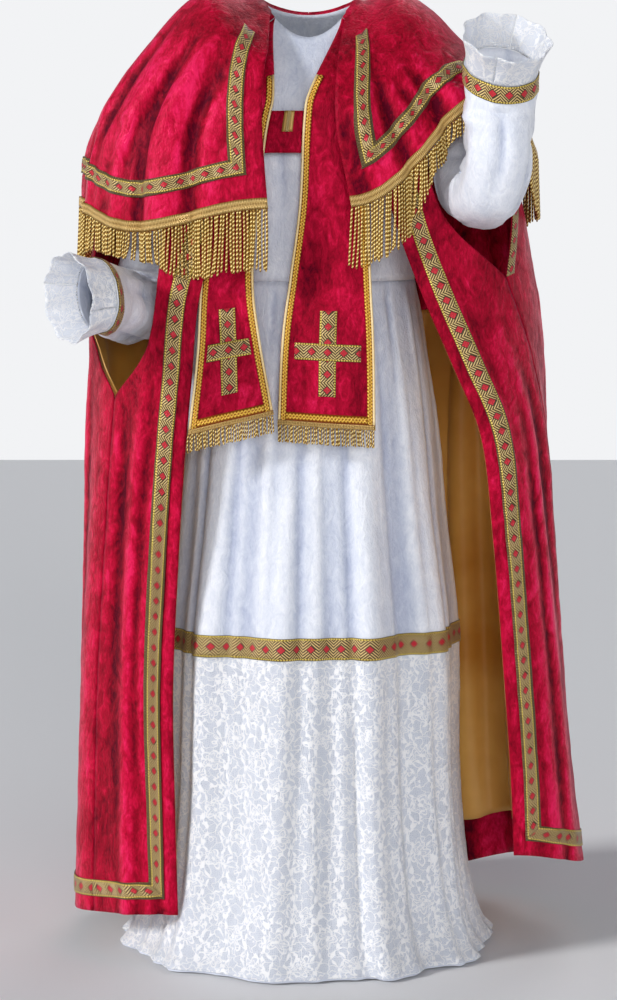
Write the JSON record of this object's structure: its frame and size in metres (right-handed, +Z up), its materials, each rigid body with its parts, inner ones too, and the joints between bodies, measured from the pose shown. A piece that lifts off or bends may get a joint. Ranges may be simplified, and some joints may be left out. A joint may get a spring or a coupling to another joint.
{
  "type": "saint nicholas costume",
  "caption": "Bishop costume as worn: white velvet and lace alb, red stole, long red cape open at the front, fringed shoulder cape, braid trims.",
  "frame": {"origin": "middle of the costume at the front of the shoulder line, 1.480 m above the hem's floor, where the wearer's neck and shoulders hold it", "axes": "+Z up, -Y towards the front of the costume, +X towards the viewer's right (the wearer's left, with the raised sleeve)"},
  "size_m": [0.868, 0.6995, 1.5544],
  "materials": {
    "crimson_velvet": "crushed velvet with a soft sheen",
    "white_velvet": "crushed velvet with a soft sheen",
    "gold_braid": "woven jacquard braid with metallic yarn",
    "gold_fringe": "twisted bullion cord, satin gold",
    "gold_gimp": "gimp braid, bright gold",
    "ochre_satin": "satin, soft gloss",
    "white_lace": "floral lace, matte",
    "white_cotton": "plain weave, matte"
  },
  "bodies": {
    "root": {"alb_bodice_front": "white_velvet", "alb_bodice_back": "white_velvet", "alb_skirt_front": "white_velvet", "alb_skirt_back": "white_velvet", "lace_flounce_front": "white_lace", "lace_flounce_back": "white_lace", "underskirt_front": "white_cotton", "underskirt_back": "white_cotton", "skirt_band_front": "gold_braid", "skirt_band_back": "gold_braid", "sleeve_raised": "white_velvet", "cuff_braid_raised": "gold_braid", "cuff_lace_raised_outer": "white_lace", "cuff_lace_raised_inner": "white_lace", "sleeve_lowered": "white_velvet", "cuff_braid_lowered": "gold_braid", "cuff_lace_lowered_outer": "white_lace", "cuff_lace_lowered_inner": "white_lace", "cape_front_right": "crimson_velvet", "cape_front_left": "crimson_velvet", "cape_back": "crimson_velvet", "lining_front_right": "ochre_satin", "lining_front_left": "ochre_satin", "lining_back": "ochre_satin", "cape_braid_right": "gold_braid", "cape_braid_left": "gold_braid", "cape_braid_back": "gold_braid", "slit_braid": "gold_braid", "shoulder_cape_right": "crimson_velvet", "shoulder_braid_right": "gold_braid", "shoulder_fringe_right": "gold_fringe", "shoulder_cape_left": "crimson_velvet", "shoulder_braid_left": "gold_braid", "shoulder_fringe_left": "gold_fringe", "stole_neck": "crimson_velvet", "stole_right": "crimson_velvet", "stole_gimp_right": "gold_gimp", "stole_cross_right": "gold_braid", "stole_fringe_right": "gold_fringe", "stole_left": "crimson_velvet", "stole_gimp_left": "gold_gimp", "stole_cross_left": "gold_braid", "stole_fringe_left": "gold_fringe", "stole_chest_band": "crimson_velvet", "chest_strip": "gold_braid"}
  },
  "joints": []
}
